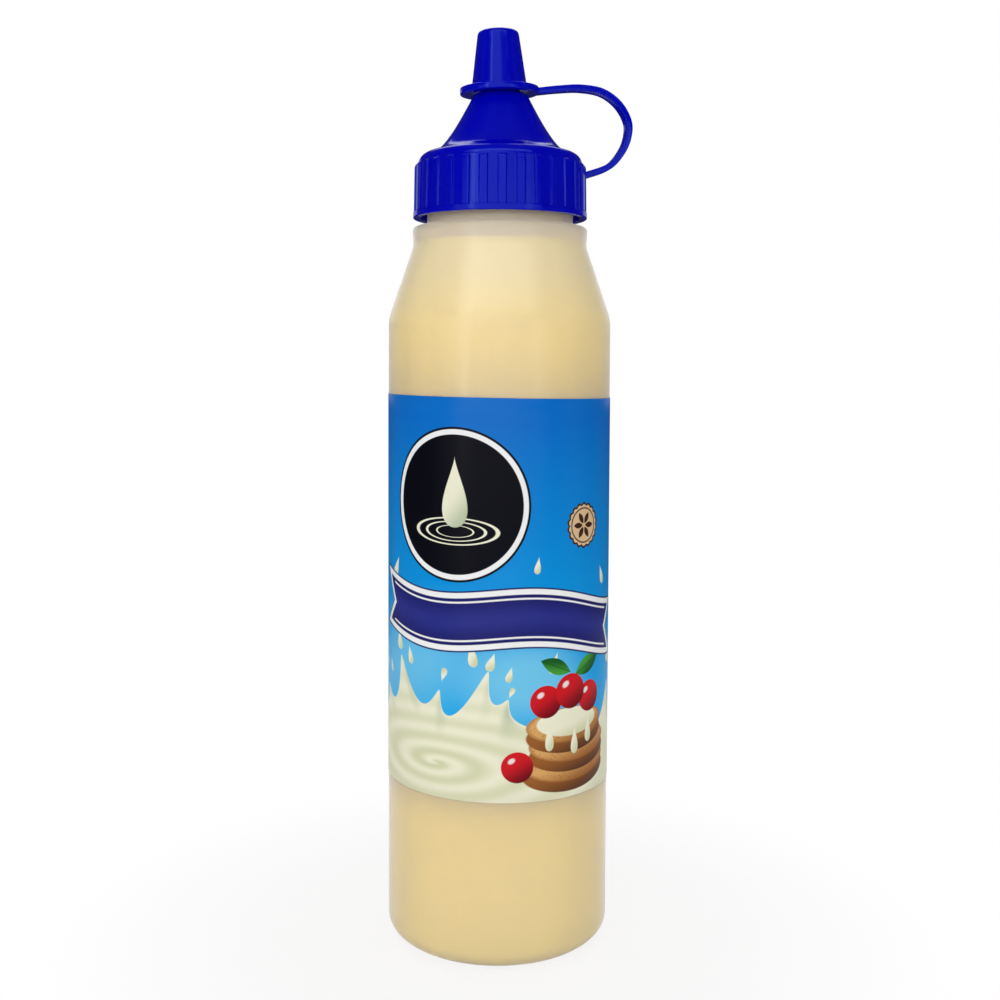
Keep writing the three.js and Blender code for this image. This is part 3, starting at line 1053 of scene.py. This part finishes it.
def paintSeal(tree, place, color):
    x, y, half = printPlan["seal"]
    for size, paint in ((1.0, "brown"), (0.9, "tan")):
        seal = motif(tree, sealGroup, place, (x, y), (half * size, half * size))
        color = blendColor(tree, seal["Mask"], color, ink[paint])
    ringHalf = half * printPlan["sealRing"]
    ring = motif(tree, ovalGroup, place, (x, y), (ringHalf, ringHalf))
    line = mapValue(tree, calc(tree, "ABSOLUTE", ring["Inside"]), 0.02, 0.06, 1.0, 0.0)
    color = blendColor(tree, line, color, ink["brown"])
    out, long, wide = printPlan["petal"]
    for turn in range(0, 360, 60):
        lean = math.radians(turn)
        centre = (x + out * math.cos(lean), y + out * math.sin(lean))
        petal = motif(tree, leafGroup, place, centre, (long, wide), turn)
        color = blendColor(tree, petal["Mask"], color, ink["brown"])
    return color


def paintPanel(tree, place, color):
    # a plain panel on the back, with nothing on it but two thin rules
    across, up = place
    low, high = printPlan["panel"]
    corner, soft = printPlan["panelCorner"], printPlan["soft"]
    fromBack = calc(tree, "SUBTRACT", math.pi * label["printRadius"], calc(tree, "ABSOLUTE", across))
    fromMiddle = calc(tree, "ABSOLUTE", calc(tree, "SUBTRACT", up, (low + high) / 2))
    sideways = calc(tree, "SUBTRACT", calc(tree, "ABSOLUTE", fromBack), printPlan["panelHalf"] - corner)
    upways = calc(tree, "SUBTRACT", fromMiddle, (high - low) / 2 - corner)
    past = lengthOf(tree, calc(tree, "MAXIMUM", sideways, 0.0), calc(tree, "MAXIMUM", upways, 0.0))
    inside = calc(tree, "SUBTRACT", corner, past)
    color = blendColor(tree, mapValue(tree, inside, -soft, soft, 0.0, 1.0), color, ink["cream"])
    for depth in printPlan["panelRules"]:
        off = calc(tree, "ABSOLUTE", calc(tree, "SUBTRACT", inside, depth))
        rule = mapValue(tree, off, 0.2, 0.2 + soft, 1.0, 0.0)
        color = blendColor(tree, rule, color, ink["navy"])
    return color


def printedFilm():
    material, tree, shader = newMaterial("printedFilm")
    coords = objectCoords(tree)
    x, y, z = (calc(tree, "MULTIPLY", part, 1 / mm) for part in splitVector(tree, coords))
    angle = calc(tree, "ARCTAN2", x, calc(tree, "MULTIPLY", y, -1.0))
    across = calc(tree, "MULTIPLY", angle, label["printRadius"])
    up = calc(tree, "ADD", z, calc(tree, "MULTIPLY", x, label["skew"]))
    place = (across, up)
    color = paintGround(tree, place)
    layers = [
        paintDrops, paintPool, paintBiscuits, paintCherries, paintRibbon, paintRoundel, paintSeal, paintPanel,
    ]
    for paintLayer in layers:
        color = paintLayer(tree, place, color)
    tree.links.new(color, shader.inputs["Base Color"])
    moulded = useGroup(
        tree, mouldedGroup, Vector=coords, WaveScale=35.0, GrainScale=900.0, GrainShare=0.15,
        Gloss=label["gloss"], GlossDrift=0.05,
    )
    tree.links.new(moulded["Roughness"], shader.inputs["Roughness"])
    shader.inputs["IOR"].default_value = 1.5
    shader.inputs["Specular IOR Level"].default_value = label["shine"]
    addBump(tree, shader, moulded["Height"], distance=0.0002, strength=0.2)
    return material


makePiece(labelMesh(), "printedLabel", printedFilm(), "label", 50)
print("label made")


# studio: white surroundings for the camera, and soft boxes that the bottle sees
studio = {
    "dark": 0.03,
    "soft": 0.25,
    "distance": 2.0,
    "floorSize": 0.32,
    "floorColor": (0.9, 0.9, 0.9, 1.0),
    "floorRoughness": 0.7,
    # the floor turns white to the camera between these distances, by these shares
    "floorClear": (0.045, 0.11),
    "floorWhite": (0.84, 1.0),
    "floorDrop": 0.05 * mm,
    "boxes": [
        # name, degrees to the right of the camera, lowest, highest, width, brightness, where it works
        ("frontShine", -4, -0.10, 0.66, 6.40, 0.9, "glossy"),
        ("keyShine", -12, 0.66, 1.90, 1.75, 0.9, "glossy"),
        ("leftStripe", -36, -0.10, 1.90, 0.18, 3.2, "glossy"),
        ("rightStripe", 38, -0.10, 0.66, 0.30, 1.2, "glossy"),
        ("topShine", -2, 1.70, 3.00, 4.60, 2.0, "glossy"),
        ("backShine", 180, 0.25, 0.70, 3.20, 0.6, "glossy"),
        ("backTop", 182, 1.40, 4.60, 1.70, 1.8, "glossy"),
        ("frontLight", -6, -0.40, 1.50, 2.60, 1.66, "diffuse"),
        ("leftLight", -80, -0.20, 1.40, 0.90, 1.35, "diffuse"),
        ("rightLight", 80, -0.20, 1.40, 0.90, 1.25, "diffuse"),
        ("backLeftLight", -142, -0.20, 1.60, 1.60, 1.0, "diffuse"),
        ("backRightLight", 142, -0.20, 1.60, 1.60, 1.0, "diffuse"),
    ],
    "overhead": (1.8, 1.6, 1.1),
}


def addLamp(name, place, aim, width, tall, brightness, works):
    data = bpy.data.lights.new(name, "AREA")
    data.shape = "RECTANGLE"
    data.size, data.size_y = width, tall
    data.energy = math.pi * width * tall * brightness
    lamp = bpy.data.objects.new(name, data)
    lamp.matrix_world = Matrix.Translation(place) @ aim.to_track_quat("-Z", "Y").to_matrix().to_4x4()
    lamp.visible_camera = False
    lamp.visible_glossy = works == "glossy"
    lamp.visible_diffuse = works == "diffuse"
    bpy.context.scene.collection.objects.link(lamp)


def addBox(name, turn, low, high, width, brightness, works):
    angle = math.radians(turn)
    away = Vector((math.sin(angle), -math.cos(angle), 0)) * studio["distance"]
    addLamp(name, away + Vector((0, 0, (low + high) / 2)), -away, width, high - low, brightness, works)


def addSurroundings():
    world = bpy.data.worlds.new("studioWorld")
    world.use_nodes = True
    tree = world.node_tree
    tree.nodes.clear()
    out = tree.nodes.new("ShaderNodeOutputWorld")
    backdrop = tree.nodes.new("ShaderNodeBackground")
    path = tree.nodes.new("ShaderNodeLightPath")
    strength = mapValue(tree, path.outputs["Is Diffuse Ray"], 0.0, 1.0, studio["dark"], studio["soft"])
    for ray in ("Is Camera Ray", "Is Transmission Ray"):
        strength = calc(tree, "MAXIMUM", strength, path.outputs[ray])
    tree.links.new(strength, backdrop.inputs["Strength"])
    backdrop.inputs["Color"].default_value = (1, 1, 1, 1)
    tree.links.new(backdrop.outputs[0], out.inputs["Surface"])
    bpy.context.scene.world = world


def floorMaterial():
    # pale and lit near the bottle, and white to the camera farther out, so that no edge of it shows
    material, tree, shader = newMaterial("paleFloor")
    shader.inputs["Base Color"].default_value = studio["floorColor"]
    shader.inputs["Roughness"].default_value = studio["floorRoughness"]
    length = tree.nodes.new("ShaderNodeVectorMath")
    length.operation = "LENGTH"
    tree.links.new(objectCoords(tree), length.inputs[0])
    far = mapValue(
        tree, length.outputs["Value"], *studio["floorClear"], *studio["floorWhite"], smooth=True,
    )
    seen = tree.nodes.new("ShaderNodeLightPath").outputs["Is Camera Ray"]
    white = tree.nodes.new("ShaderNodeEmission")
    mix = tree.nodes.new("ShaderNodeMixShader")
    tree.links.new(calc(tree, "MULTIPLY", far, seen), mix.inputs[0])
    tree.links.new(shader.outputs[0], mix.inputs[1])
    tree.links.new(white.outputs[0], mix.inputs[2])
    out = next(node for node in tree.nodes if node.type == "OUTPUT_MATERIAL")
    tree.links.new(mix.outputs[0], out.inputs["Surface"])
    return material


def addFloor():
    bm = bmesh.new()
    bmesh.ops.create_circle(bm, cap_ends=True, radius=studio["floorSize"], segments=64)
    bmesh.ops.translate(bm, verts=bm.verts, vec=(0, 0, -studio["floorDrop"]))
    mesh = bpy.data.meshes.new("floor")
    bm.to_mesh(mesh)
    bm.free()
    mesh.materials.append(floorMaterial())
    floor = bpy.data.objects.new("floor", mesh)
    bpy.context.scene.collection.objects.link(floor)


for box in studio["boxes"]:
    addBox(*box)
height, size, brightness = studio["overhead"]
addLamp("overhead", Vector((0, 0, height)), Vector((0, 0, -1)), size, size, brightness, "diffuse")
addSurroundings()
addFloor()
bpy.context.scene.view_settings.view_transform = "Standard"
print("studio set")
